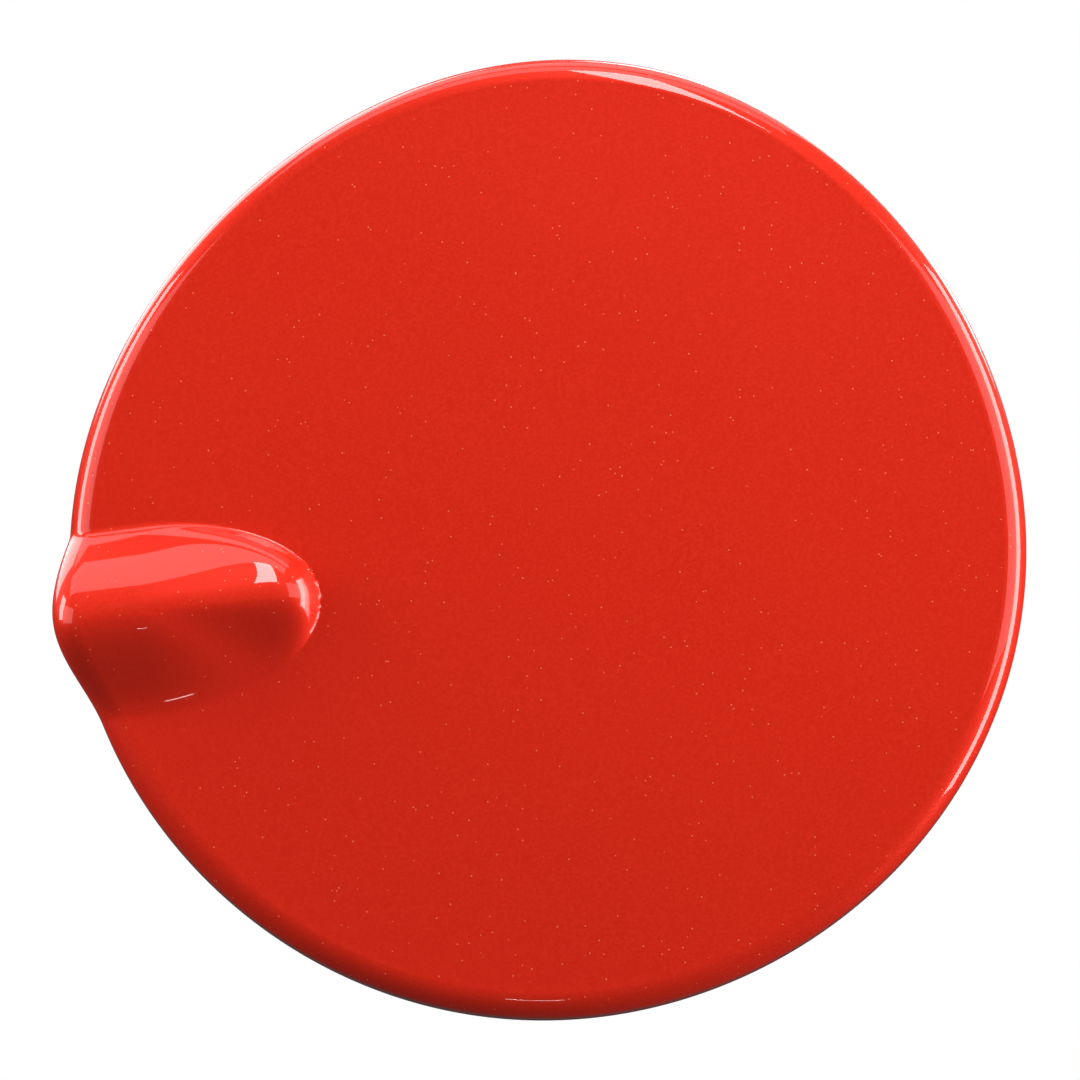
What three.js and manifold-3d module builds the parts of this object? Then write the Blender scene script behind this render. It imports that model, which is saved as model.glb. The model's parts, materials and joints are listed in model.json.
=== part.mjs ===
// Round fuel filler flap of a car: a pressed and painted skin with a raised finger grip, hemmed over an
// inner panel, on a vertical spring-closed hinge whose bracket is screwed to the body behind it.
// Millimetres. X to the right, Y into the car, Z up. The skin's crown touches y = 0 in the flap's own
// layout, and the whole assembly is then shifted so that the origin lies on the bracket's mounting face.
import * as THREE from 'three';
import { mergeVertices } from 'three/addons/utils/BufferGeometryUtils.js';
import Module from 'manifold-3d';

const wasm = await Module();
wasm.setup();

// ---- driving sizes -------------------------------------------------------------------------------

const FLAP_R = 82.9;          // mean radius of the outline
const OVAL = 0.9;             // two-lobed wave of the outline, and where its lobe lies
const OVAL_AT = rad(58);
const EGG = 0.85;             // three-lobed wave
const EGG_AT = rad(-39);
const SQUARE = 0.45;          // four-lobed wave
const SQUARE_AT = rad(-7);

const SKIN_T = 1.0;           // sheet thickness of the skin, paint included
const CROWN = 2.5;            // how far the rim lies behind the middle of the face
const ROLL_W = 4.4;           // rounding between face and side wall: width on the face
const ROLL_D = 4;             // and depth down the wall
const SKIRT_Y = 12;           // depth of the edge behind the middle of the face
const HEM_R = 0.8;            // outer fold radius of the hem
const HEM_W = 5;              // width of the hem that holds the inner panel

const GRIP_ANGLE = rad(191);  // direction of the grip, seen from outside
const GRIP_H = 9.5;           // height of the grip's crest over the face
const GRIP_TIP_R = 41;        // radius at which the nose of the grip starts
const GRIP_TURN = rad(-4);    // turn of the crest line, about the nose, from the radial direction
const GRIP_NOSE = 30;         // length over which the nose rounds into the full width
const GRIP_CREST = -2.3;      // crest line, above the line through the nose
const GRIP_UPPER = 15.7;      // width of the upper flank, which starts at a crease
const GRIP_LOWER = 17.5;      // width of the lower flank, which runs out in a scoop
const CREST_ROUND = 0.4;      // share of the flank's width over which the crest is rounded
const NOSE_FALL = 0.4;        // share of the height that the crest loses before the nose turns down
const NOSE_BLUNT = 16;        // how abruptly the nose then turns down
const GRIP_OVERHANG = 3.4;    // how far the grip's end stands out over the outline
const GRIP_LEAN_R = 60;       // radius from which the grip leans outwards
const LIP_DEPTH = 0.42;       // share of the side wall that the overhanging lip takes up
const FACE_RINGS = 9;         // rings of facets between the nose and the rim

const GAP = 0.3;              // between pieces that rest on each other
const PANEL_T = 1.0;          // sheet thickness of the inner panel
const PANEL_SIDE_GAP = 0.8;   // between inner panel and side wall
const PLATEAU_STEP = 0.6;     // the middle of the panel lies this far in front of its rim
const PLATEAU_R = 50;
const BEAD_DEPTH = 2;         // stiffening bead between middle and rim
const BEAD_R = 56;
const BEAD_W = 8;
const DRAIN_R = 2.5;
const DRAIN_AT = [rad(30), rad(150), rad(270)];

const PIN_X = 66;             // hinge line
const PIN_Y = 26.5;
const PIN_R = 3;
const PIN_HEAD_R = 5;
const PIN_HEAD_T = 2;
const PIN_BEVEL = 0.6;
const PIN_END = 1.6;          // length of the pin beyond its groove
const GROOVE_DEPTH = 0.7;
const GROOVE_W = 1.4;
const CLIP_T = 0.8;
const CLIP_R = 5.5;

const ARM_T = 2;              // sheet thickness of the hinge arm
const ARM_LEFT = 6;
const ARM_RIGHT = 46;
const ARM_HALF_W = 17.5;
const EYE_R = 8;
const HORN_R = 15;            // the horn that meets the open stop
const NECK_X = 9.5;           // from the hinge line to the bend of the arm's neck
const OPEN_ANGLE = rad(100);

const BUSH_WALL = 1.4;
const BUSH_FLANGE_R = 7.5;
const BUSH_FLANGE_T = 1.2;

const BRACKET_T = 2.5;        // ears
const BASE_T = 3;             // base plate
const BASE_LEFT = 34;
const BASE_RIGHT = 70;
const BASE_HALF_H = 36;
const BASE_CORNER = 12;
const BASE_BEHIND_PIN = 24;   // from hinge line to the front of the base plate
const EAR_R = 8.5;
const EAR_LEFT = 49;
const MOUNT_SCREW_X = 52;
const MOUNT_SCREW_Z = 28;

const SCREW_R = 2.5;          // M5 mounting screws
const SCREW_L = 16;
const SCREW_HEAD_R = 4.6;
const SCREW_HEAD_H = 3.2;
const HEX_R = 2.3;
const HEX_DEPTH = 2;
const SCREW_BEVEL = 0.8;
const WASHER_R = 5.8;
const WASHER_T = 1;

const WIRE_R = 0.8;           // torsion spring
const COIL_R = 5.2;
const COIL_PITCH = 2.3;
const COIL_WHOLE_TURNS = 5;
const MOVING_LEG_AT = rad(121.8);

const STOP_HALF_T = 2.5;      // rubber open stop
const STOP_HALF_L = 18.5;
const STOP_FRONT = 12;        // from hinge line to the near end of the rubber

const RIVET_R = 1.9;
const RIVET_HEAD_R = 3;
const RIVET_HEAD_H = 1.5;
const RIVET_TAIL_R = 2.8;
const RIVET_TAIL_H = 1;

const STRIKER_T = 2;
const STRIKER_IN = 33;        // radii between which the striker's foot lies
const STRIKER_OUT = 47;
const STRIKER_HALF_W = 8;
const STRIKER_TIP = 21;       // height of the striker over its foot
const STRIKER_CORNER = 4;
const STRIKER_RIVET_R = 37.5; // radius of the striker's rivets, and their distance from its middle
const STRIKER_RIVET_Z = 4.5;
const EYE_SLOT_W = 9;
const EYE_SLOT_H = 7;

const BUFFER_R = 6;           // rubber buffers round the rim
const BUFFER_H = 5;
const BUFFER_NECK_R = 2.7;
const BUFFER_BARB_R = 3.9;
const BUFFER_BARB_H = 1.5;
const BUFFER_AT_R = 69;
const BUFFER_SPREAD = [rad(-70), rad(-32), rad(32), rad(70)];

const HOLDER_LEFT = -30;      // fork that the fuel cap hangs in while the tank is filled
const HOLDER_RIGHT = -8;
const HOLDER_HALF_W = 11;
const HOLDER_T = 2;
const PRONG_T = 2.5;
const PRONG_L = 17;
const PRONG_LIP = 1.5;

const RING_IN = 28.5;         // foam ring between skin and inner panel
const RING_OUT = 34.5;

// ---- sizes that follow ---------------------------------------------------------------------------

const RIM_R = FLAP_R - ROLL_W;
const ROLL_END = crownAt(RIM_R) + ROLL_D;
const WALL_END = SKIRT_Y - SKIN_T;
const PANEL_BACK = WALL_END - GAP;
const PLATEAU_BACK = PANEL_BACK - PLATEAU_STEP;
const PAD_FRONT = PLATEAU_BACK + GAP;
const PAD_BACK = PAD_FRONT + ARM_T;
const RIVET_HOLE_R = RIVET_R + GAP;
const BUSH_BORE_R = PIN_R + GAP;
const BUSH_OUT_R = BUSH_BORE_R + BUSH_WALL;
const FLANGE_NEAR = ARM_HALF_W + GAP;
const EAR_NEAR = FLANGE_NEAR + BUSH_FLANGE_T + GAP;
const EAR_FAR = EAR_NEAR + BRACKET_T;
const BASE_FRONT = PIN_Y + BASE_BEHIND_PIN;
const BASE_BACK = BASE_FRONT + BASE_T;
const MOUNT = new THREE.Vector3(MOUNT_SCREW_X, BASE_BACK, 0);

const ARM_RIVETS = [[14, 9], [14, -9], [38, 9], [38, -9]];
const STRIKER_RIVETS = [STRIKER_RIVET_Z, -STRIKER_RIVET_Z].map((z) => onGrip(STRIKER_RIVET_R, z));
const HOLDER_RIVETS = [[-24, 0], [-14, 0]];

// ---- materials -----------------------------------------------------------------------------------

const paint = new THREE.MeshStandardMaterial({ color: 0xd8301e, roughness: 0.2, metalness: 0.35 });
const primer = new THREE.MeshStandardMaterial({ color: 0x8f1d12, roughness: 0.5, metalness: 0.2 });
const steel = new THREE.MeshStandardMaterial({ color: 0xb9bcc0, roughness: 0.4, metalness: 0.9 });
const blackSteel = new THREE.MeshStandardMaterial({ color: 0x26272a, roughness: 0.5, metalness: 0.4 });
const springSteel = new THREE.MeshStandardMaterial({ color: 0x8f9398, roughness: 0.35, metalness: 0.95 });
const rubber = new THREE.MeshStandardMaterial({ color: 0x151515, roughness: 0.9, metalness: 0 });
const plastic = new THREE.MeshStandardMaterial({ color: 0x1d1e20, roughness: 0.6, metalness: 0 });
const nylon = new THREE.MeshStandardMaterial({ color: 0xe4e0d2, roughness: 0.5, metalness: 0 });
const foam = new THREE.MeshStandardMaterial({ color: 0x3a3b3d, roughness: 1, metalness: 0 });

// ---- small helpers -------------------------------------------------------------------------------

function rad(degrees) {
  return degrees * Math.PI / 180;
}

function smooth(value, start, end) {
  const t = THREE.MathUtils.clamp((value - start) / (end - start), 0, 1);
  return t * t * (3 - 2 * t);
}

// A point given by its distance along the grip's direction and its height across it.
function onGrip(along, across) {
  const c = Math.cos(GRIP_ANGLE);
  const s = Math.sin(GRIP_ANGLE);
  return [along * c + across * s, along * s - across * c];
}

// Closes a geometry: shared corners are merged, empty triangles dropped and the faces turned outwards.
function closed(geometry) {
  geometry.deleteAttribute('normal');
  geometry.deleteAttribute('uv');
  const merged = mergeVertices(geometry, 1e-4);
  const index = merged.index.array;
  const corner = (i) => new THREE.Vector3().fromBufferAttribute(merged.attributes.position, i);
  const kept = [];
  let volume = 0;
  for (let i = 0; i < index.length; i += 3) {
    const [a, b, c] = [index[i], index[i + 1], index[i + 2]];
    if (a === b || b === c || c === a) continue;
    kept.push(a, b, c);
    volume += corner(a).dot(corner(b).cross(corner(c)));
  }
  if (volume < 0) kept.reverse();
  merged.setIndex(kept);
  return merged;
}

function toSolid(geometry) {
  const merged = closed(geometry);
  const vertProperties = new Float32Array(merged.attributes.position.array);
  const triVerts = new Uint32Array(merged.index.array);
  return new wasm.Manifold(new wasm.Mesh({ numProp: 3, vertProperties, triVerts }));
}

function toGeometry(solid) {
  const mesh = solid.getMesh();
  const geometry = new THREE.BufferGeometry();
  geometry.setAttribute('position', new THREE.BufferAttribute(new Float32Array(mesh.vertProperties), 3));
  geometry.setIndex(new THREE.BufferAttribute(new Uint32Array(mesh.triVerts), 1));
  return geometry;
}

// A turned body about the Y axis. The profile is a list of [radius, y].
function turned(profile, segments = 20) {
  return new THREE.LatheGeometry(profile.map(([r, y]) => new THREE.Vector2(r, y)), segments);
}

function rod(radius, y0, y1, segments = 12) {
  return new THREE.CylinderGeometry(radius, radius, y1 - y0, segments).translate(0, (y0 + y1) / 2, 0);
}

// A plate lying in the XY plane, between two heights.
function plateZ(shape, z0, z1, curveSegments = 12) {
  const options = { depth: z1 - z0, bevelEnabled: false, curveSegments };
  return new THREE.ExtrudeGeometry(shape, options).translate(0, 0, z0);
}

// A plate whose outline is given in X and Z, between two depths.
function plateY(shape, y0, y1, curveSegments = 6) {
  const options = { depth: y1 - y0, bevelEnabled: false, curveSegments };
  return new THREE.ExtrudeGeometry(shape, options).rotateX(Math.PI / 2).translate(0, y1, 0);
}

// A bar whose section is given in Z and Y, between two places along X.
function barX(shape, x0, x1) {
  const options = { depth: x1 - x0, bevelEnabled: false };
  return new THREE.ExtrudeGeometry(shape, options).rotateY(-Math.PI / 2).translate(x1, 0, 0);
}

function roundedRectangle(left, right, bottom, top, corner) {
  const shape = new THREE.Shape();
  shape.moveTo(left + corner, bottom);
  shape.absarc(right - corner, bottom + corner, corner, -Math.PI / 2, 0);
  shape.absarc(right - corner, top - corner, corner, 0, Math.PI / 2);
  shape.absarc(left + corner, top - corner, corner, Math.PI / 2, Math.PI);
  shape.absarc(left + corner, bottom + corner, corner, Math.PI, Math.PI * 1.5);
  return shape;
}

function holeAt(x, z, radius, y0, y1) {
  return toSolid(rod(radius, y0, y1).translate(x, 0, z));
}

const assembly = new THREE.Group();
assembly.position.copy(MOUNT).negate();

function add(name, geometry, material) {
  const mesh = new THREE.Mesh(closed(geometry), material);
  mesh.name = name;
  assembly.add(mesh);
  return mesh;
}

// ---- the pressed shape ---------------------------------------------------------------------------

function crownAt(radius) {
  return CROWN * (radius / FLAP_R) ** 2;
}

function outlineWave(angle) {
  return OVAL * Math.cos(2 * (angle - OVAL_AT))
    + EGG * Math.cos(3 * (angle - EGG_AT))
    + SQUARE * Math.cos(4 * (angle - SQUARE_AT));
}

// Height of the grip as a share of its crest, 0 off the grip and 1 along the crest.
function gripShare(x, z) {
  const fromNose = [x - GRIP_TIP_R * Math.cos(GRIP_ANGLE), z - GRIP_TIP_R * Math.sin(GRIP_ANGLE)];
  const [c, s] = [Math.cos(GRIP_ANGLE + GRIP_TURN), Math.sin(GRIP_ANGLE + GRIP_TURN)];
  const along = fromNose[0] * c + fromNose[1] * s;
  const across = fromNose[0] * s - fromNose[1] * c - GRIP_CREST;
  const nose = Math.max(0, 1 - along / GRIP_NOSE);
  const side = across / (across > 0 ? GRIP_UPPER : GRIP_LOWER);
  const reach = Math.hypot(nose, side);
  if (reach >= 1) return 0;
  if (reach === 0) return 1;
  const rounded = (value) => Math.hypot(value, CREST_ROUND) - CREST_ROUND;
  const flank = 1 - rounded(reach) / rounded(1);
  const tip = 1 - NOSE_FALL * reach ** 1.2 - (1 - NOSE_FALL) * reach ** NOSE_BLUNT;
  const ridge = THREE.MathUtils.lerp(flank, tip, (nose / reach) ** 2);
  const scoop = (1 + Math.cos(Math.PI * reach)) / 2;
  return THREE.MathUtils.lerp(ridge, scoop, smooth(-side / reach, 0, 0.8));
}

// Presses a turned body into the flap's real shape: the sectors are packed closer round the grip, the
// outline gets its waves, and the grip is raised out of the face and leans out over the side wall.
function pressed(geometry, gripCrowding, withGrip) {
  const position = geometry.attributes.position;
  for (let i = 0; i < position.count; i += 1) {
    const y = position.getY(i);
    const radius = Math.hypot(position.getX(i), position.getZ(i));
    const even = Math.atan2(position.getZ(i), position.getX(i));
    const angle = even + gripCrowding * Math.sin(even) + GRIP_ANGLE - Math.PI;
    const waved = radius + outlineWave(angle) * (radius / FLAP_R) ** 3;
    const share = withGrip ? gripShare(waved * Math.cos(angle), waved * Math.sin(angle)) : 0;
    const depth = THREE.MathUtils.clamp((y - ROLL_END) / (WALL_END - ROLL_END), 0, 1);
    const lean = share * smooth(radius, GRIP_LEAN_R, FLAP_R) * (1 - smooth(depth, 0, LIP_DEPTH));
    const pushed = waved + GRIP_OVERHANG * lean;
    const lifted = y - GRIP_H * share * (1 - smooth(depth, 0, 1));
    position.setXYZ(i, pushed * Math.cos(angle), lifted, pushed * Math.sin(angle));
  }
  return geometry;
}

// ---- flap ----------------------------------------------------------------------------------------

function outerSkin() {
  const noseRing = GRIP_TIP_R - 1.5;
  const rings = [noseRing / 2];
  for (let i = 0; i < FACE_RINGS; i += 1) {
    rings.push(THREE.MathUtils.lerp(noseRing, RIM_R, i / (FACE_RINGS - 1)));
  }
  const face = [0, ...rings].map((r) => [r, crownAt(r)]);
  const lining = [...rings.slice(0, -1).reverse(), 0].map((r) => [r, crownAt(r) + SKIN_T]);
  const bend = (degrees, inset) => [
    RIM_R + (ROLL_W - inset) * Math.sin(rad(degrees)),
    ROLL_END - (ROLL_D - inset) * Math.cos(rad(degrees)),
  ];
  const roll = [22, 45, 68, 90].map((d) => bend(d, 0));
  const innerRoll = [90, 60, 30, 0].map((d) => bend(d, SKIN_T));
  const steps = [0.14, 0.3, 0.55];
  const wall = steps.map((s) => [FLAP_R, THREE.MathUtils.lerp(ROLL_END, SKIRT_Y - HEM_R, s)]);
  const innerWall = steps.toReversed().map((s) => [
    FLAP_R - SKIN_T,
    THREE.MathUtils.lerp(ROLL_END, WALL_END, s),
  ]);
  const hem = [
    [FLAP_R, SKIRT_Y - HEM_R],
    [FLAP_R - HEM_R * 0.3, SKIRT_Y - HEM_R * 0.3],
    [FLAP_R - HEM_R, SKIRT_Y],
    [FLAP_R - HEM_W, SKIRT_Y],
    [FLAP_R - HEM_W, WALL_END],
    [FLAP_R - SKIN_T, WALL_END],
  ];
  const profile = [...face, ...roll, ...wall, ...hem, ...innerWall, ...innerRoll, ...lining];
  return pressed(turned(profile, 72), 0.6, true);
}

function innerPanel() {
  const r = FLAP_R - SKIN_T - PANEL_SIDE_GAP;
  const beadBack = PLATEAU_BACK - BEAD_DEPTH;
  const back = [
    [0, PLATEAU_BACK],
    [PLATEAU_R, PLATEAU_BACK],
    [BEAD_R - BEAD_W / 4, beadBack],
    [BEAD_R + BEAD_W / 4, beadBack],
    [BEAD_R + BEAD_W / 2 + 2, PANEL_BACK],
    [r, PANEL_BACK],
  ];
  const front = back.toReversed().map(([x, y]) => [x, y - PANEL_T]);
  let panel = toSolid(pressed(turned([...back, ...front], 48), 0, false));
  const through = [PLATEAU_BACK - BEAD_DEPTH - 5, PANEL_BACK + 5];
  for (const [x, z] of [...ARM_RIVETS, ...STRIKER_RIVETS, ...HOLDER_RIVETS]) {
    panel = panel.subtract(holeAt(x, z, RIVET_HOLE_R, ...through));
  }
  for (const spread of BUFFER_SPREAD) {
    const angle = GRIP_ANGLE + spread;
    const [x, z] = [BUFFER_AT_R * Math.cos(angle), BUFFER_AT_R * Math.sin(angle)];
    panel = panel.subtract(holeAt(x, z, BUFFER_NECK_R + GAP, ...through));
  }
  for (const angle of DRAIN_AT) {
    panel = panel.subtract(holeAt(BEAD_R * Math.cos(angle), BEAD_R * Math.sin(angle), DRAIN_R, ...through));
  }
  return toGeometry(panel);
}

function dampingRing() {
  const near = crownAt(RING_OUT) + SKIN_T + GAP;
  const far = PLATEAU_BACK - PANEL_T - GAP;
  const section = [[RING_IN, near], [RING_OUT, near], [RING_OUT, far], [RING_IN, far], [RING_IN, near]];
  return turned(section, 32);
}

// A rivet with its head on the piece that it holds and its upset tail in front of the inner panel.
function rivet(headSeat) {
  const tail = PLATEAU_BACK - PANEL_T - GAP;
  const head = headSeat + GAP;
  return turned([
    [0, tail - RIVET_TAIL_H],
    [RIVET_TAIL_R, tail - RIVET_TAIL_H],
    [RIVET_TAIL_R, tail],
    [RIVET_R, tail],
    [RIVET_R, head],
    [RIVET_HEAD_R, head],
    [RIVET_HEAD_R * 0.85, head + RIVET_HEAD_H * 0.6],
    [RIVET_HEAD_R * 0.45, head + RIVET_HEAD_H],
    [0, head + RIVET_HEAD_H],
  ], 12);
}

function buffer() {
  const tail = PANEL_BACK - PANEL_T - GAP;
  const head = PANEL_BACK + GAP;
  return turned([
    [0, tail - BUFFER_BARB_H],
    [BUFFER_NECK_R * 0.6, tail - BUFFER_BARB_H],
    [BUFFER_BARB_R, tail],
    [BUFFER_NECK_R, tail],
    [BUFFER_NECK_R, head],
    [BUFFER_R, head],
    [BUFFER_R, head + BUFFER_H * 0.35],
    [BUFFER_R * 0.82, head + BUFFER_H * 0.75],
    [BUFFER_R * 0.5, head + BUFFER_H],
    [0, head + BUFFER_H],
  ], 16);
}

// ---- hinge arm -----------------------------------------------------------------------------------

function aboutPin(radius, angle) {
  return [PIN_X + radius * Math.cos(angle), PIN_Y + radius * Math.sin(angle)];
}

// The gooseneck's front edge, shared by the lugs and by the web between them.
const NECK_START = [ARM_RIGHT, PAD_FRONT];
const NECK_TURN = [PIN_X - NECK_X, PAD_FRONT + 0.6];
const NECK_END = aboutPin(EYE_R + 1.5, rad(235));
const hornFace = (radius) => aboutPin(radius, Math.acos((STOP_HALF_T + GAP) / radius) - OPEN_ANGLE);
const hornRoot = Math.acos((STOP_HALF_T + GAP) / EYE_R) - OPEN_ANGLE;

function armLug(near, far) {
  const lug = new THREE.Shape();
  lug.moveTo(ARM_LEFT + 3, PAD_FRONT);
  lug.lineTo(...NECK_START);
  lug.quadraticCurveTo(...NECK_TURN, ...NECK_END);
  lug.lineTo(...aboutPin(EYE_R, rad(250)));
  lug.absarc(PIN_X, PIN_Y, EYE_R, rad(250), rad(290));
  lug.lineTo(...aboutPin(HORN_R, hornRoot - rad(10)));
  lug.lineTo(...hornFace(HORN_R));
  lug.lineTo(...hornFace(EYE_R));
  lug.absarc(PIN_X, PIN_Y, EYE_R, hornRoot, rad(125));
  lug.quadraticCurveTo(PIN_X - 13, PIN_Y - 6, ARM_RIGHT - 4, PAD_BACK + 5.5);
  lug.lineTo(ARM_LEFT + 6, PAD_BACK + 2);
  const bore = new THREE.Path();
  bore.absarc(PIN_X, PIN_Y, BUSH_OUT_R + GAP, 0, Math.PI * 2, true);
  lug.holes.push(bore);
  return toSolid(plateZ(lug, near, far, 10));
}

function hingeArm() {
  const strip = new THREE.Shape();
  strip.moveTo(ARM_LEFT, PAD_FRONT);
  strip.lineTo(...NECK_START);
  strip.quadraticCurveTo(...NECK_TURN, ...NECK_END);
  strip.lineTo(NECK_END[0] - ARM_T * 0.9, NECK_END[1] + ARM_T * 0.5);
  strip.quadraticCurveTo(NECK_TURN[0] - 1.2, NECK_TURN[1] + ARM_T, ARM_RIGHT, PAD_BACK);
  strip.lineTo(ARM_LEFT, PAD_BACK);
  const inside = ARM_HALF_W - ARM_T;
  let arm = toSolid(plateZ(strip, -ARM_HALF_W, ARM_HALF_W, 6))
    .add(armLug(inside, ARM_HALF_W))
    .add(armLug(-ARM_HALF_W, -inside));
  for (const [x, z] of ARM_RIVETS) {
    arm = arm.subtract(holeAt(x, z, RIVET_HOLE_R, PAD_FRONT - 1, PAD_BACK + 1));
  }
  return toGeometry(arm);
}

function pivotBush() {
  const inner = ARM_HALF_W - ARM_T - GAP;
  return turned([
    [BUSH_BORE_R, inner],
    [BUSH_OUT_R, inner],
    [BUSH_OUT_R, FLANGE_NEAR],
    [BUSH_FLANGE_R, FLANGE_NEAR],
    [BUSH_FLANGE_R, FLANGE_NEAR + BUSH_FLANGE_T],
    [BUSH_BORE_R, FLANGE_NEAR + BUSH_FLANGE_T],
    [BUSH_BORE_R, inner],
  ]).rotateX(Math.PI / 2);
}

// ---- lock striker and cap holder -----------------------------------------------------------------

// Built with X along the grip's direction, and turned into place afterwards.
function lockStriker() {
  const foot = roundedRectangle(STRIKER_IN, STRIKER_OUT, -STRIKER_HALF_W, STRIKER_HALF_W, 1.5);
  const tip = PAD_FRONT + STRIKER_T + STRIKER_TIP;
  const tongue = new THREE.Shape();
  tongue.moveTo(-STRIKER_HALF_W, PAD_FRONT + 0.5);
  tongue.lineTo(STRIKER_HALF_W, PAD_FRONT + 0.5);
  const slotTop = tip - STRIKER_CORNER;
  const cornerX = STRIKER_HALF_W - STRIKER_CORNER;
  tongue.lineTo(STRIKER_HALF_W, slotTop);
  tongue.absarc(cornerX, slotTop, STRIKER_CORNER, 0, Math.PI / 2);
  tongue.absarc(-cornerX, slotTop, STRIKER_CORNER, Math.PI / 2, Math.PI);
  const slotHalf = EYE_SLOT_W / 2;
  const slot = new THREE.Path();
  slot.moveTo(-slotHalf, slotTop - EYE_SLOT_H);
  slot.lineTo(-slotHalf, slotTop);
  slot.lineTo(slotHalf, slotTop);
  slot.lineTo(slotHalf, slotTop - EYE_SLOT_H);
  tongue.holes.push(slot);
  let striker = toSolid(plateY(foot, PAD_FRONT, PAD_FRONT + STRIKER_T))
    .add(toSolid(barX(tongue, STRIKER_OUT - STRIKER_T, STRIKER_OUT)));
  for (const z of [-STRIKER_RIVET_Z, STRIKER_RIVET_Z]) {
    striker = striker.subtract(holeAt(STRIKER_RIVET_R, z, RIVET_HOLE_R, PAD_FRONT - 1, PAD_BACK + 1));
  }
  return toGeometry(striker);
}

function capHolder() {
  const base = roundedRectangle(HOLDER_LEFT, HOLDER_RIGHT, -HOLDER_HALF_W, HOLDER_HALF_W, 3);
  let holder = toSolid(plateY(base, PAD_FRONT, PAD_FRONT + HOLDER_T));
  const root = PAD_FRONT + HOLDER_T / 2;
  const tip = PAD_FRONT + HOLDER_T + PRONG_L;
  const outside = HOLDER_HALF_W - 1;
  const inside = outside - PRONG_T;
  for (const side of [-1, 1]) {
    const prong = new THREE.Shape();
    prong.moveTo(side * inside, root);
    prong.lineTo(side * inside, tip - 5);
    prong.lineTo(side * (inside - PRONG_LIP), tip - 3);
    prong.lineTo(side * (inside + 0.5), tip);
    prong.lineTo(side * outside, tip - 2);
    prong.lineTo(side * outside, root);
    holder = holder.add(toSolid(barX(prong, HOLDER_LEFT + 5, HOLDER_RIGHT - 4)));
  }
  for (const [x, z] of HOLDER_RIVETS) {
    holder = holder.subtract(holeAt(x, z, RIVET_HOLE_R, PAD_FRONT - 1, PAD_FRONT + HOLDER_T + 1));
  }
  return toGeometry(holder);
}

// ---- bracket, pin, spring ------------------------------------------------------------------------

function bracketEar(near, far) {
  const ear = new THREE.Shape();
  ear.moveTo(EAR_LEFT, BASE_FRONT + 1);
  ear.lineTo(...aboutPin(EAR_R, rad(170)));
  ear.absarc(PIN_X, PIN_Y, EAR_R, rad(170), rad(370));
  ear.lineTo(BASE_RIGHT - 1, BASE_FRONT + 1);
  const bore = new THREE.Path();
  bore.absarc(PIN_X, PIN_Y, BUSH_BORE_R, 0, Math.PI * 2, true);
  ear.holes.push(bore);
  return toSolid(plateZ(ear, near, far));
}

function hingeBracket() {
  const base = roundedRectangle(BASE_LEFT, BASE_RIGHT, -BASE_HALF_H, BASE_HALF_H, BASE_CORNER);
  let bracket = toSolid(plateY(base, BASE_FRONT, BASE_BACK))
    .add(bracketEar(EAR_NEAR, EAR_FAR))
    .add(bracketEar(-EAR_FAR, -EAR_NEAR));
  for (const z of [-MOUNT_SCREW_Z, MOUNT_SCREW_Z]) {
    bracket = bracket.subtract(holeAt(MOUNT_SCREW_X, z, SCREW_R + GAP, BASE_FRONT - 1, BASE_BACK + 1));
  }
  return toGeometry(bracket);
}

function mountScrew() {
  const seat = BASE_FRONT - WASHER_T - 2 * GAP;
  const top = seat - SCREW_HEAD_H;
  const blank = toSolid(turned([
    [0, top],
    [SCREW_HEAD_R - SCREW_BEVEL, top],
    [SCREW_HEAD_R, top + SCREW_BEVEL],
    [SCREW_HEAD_R, seat],
    [SCREW_R, seat],
    [SCREW_R, seat + SCREW_L - SCREW_BEVEL],
    [SCREW_R - SCREW_BEVEL, seat + SCREW_L],
    [0, seat + SCREW_L],
  ]));
  const socket = toSolid(rod(HEX_R, top - 1, top + HEX_DEPTH, 6));
  return toGeometry(blank.subtract(socket));
}

function screwWasher() {
  const far = BASE_FRONT - GAP;
  const near = far - WASHER_T;
  const bore = SCREW_R + GAP;
  return turned([[bore, near], [WASHER_R, near], [WASHER_R, far], [bore, far], [bore, near]]);
}

function hingePin() {
  const headSeat = EAR_FAR + GAP;
  const grooveTop = -EAR_FAR - GAP;
  const grooveEnd = grooveTop - GROOVE_W;
  return turned([
    [0, grooveEnd - PIN_END],
    [PIN_R - PIN_BEVEL, grooveEnd - PIN_END],
    [PIN_R, grooveEnd - PIN_END + PIN_BEVEL],
    [PIN_R, grooveEnd],
    [PIN_R - GROOVE_DEPTH, grooveEnd],
    [PIN_R - GROOVE_DEPTH, grooveTop],
    [PIN_R, grooveTop],
    [PIN_R, headSeat],
    [PIN_HEAD_R, headSeat],
    [PIN_HEAD_R, headSeat + PIN_HEAD_T - PIN_BEVEL],
    [PIN_HEAD_R - PIN_BEVEL, headSeat + PIN_HEAD_T],
    [0, headSeat + PIN_HEAD_T],
  ]).rotateX(Math.PI / 2);
}

function pinClip() {
  const top = -EAR_FAR - GAP - (GROOVE_W - CLIP_T) / 2;
  const inner = PIN_R - GROOVE_DEPTH + GAP;
  const mouth = rad(35);
  const ring = new THREE.Shape();
  ring.absarc(PIN_X, PIN_Y, CLIP_R, -Math.PI / 2 + mouth, Math.PI * 1.5 - mouth);
  ring.absarc(PIN_X, PIN_Y, inner, Math.PI * 1.5 - mouth, -Math.PI / 2 + mouth, true);
  return plateZ(ring, top - CLIP_T, top, 20);
}

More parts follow.
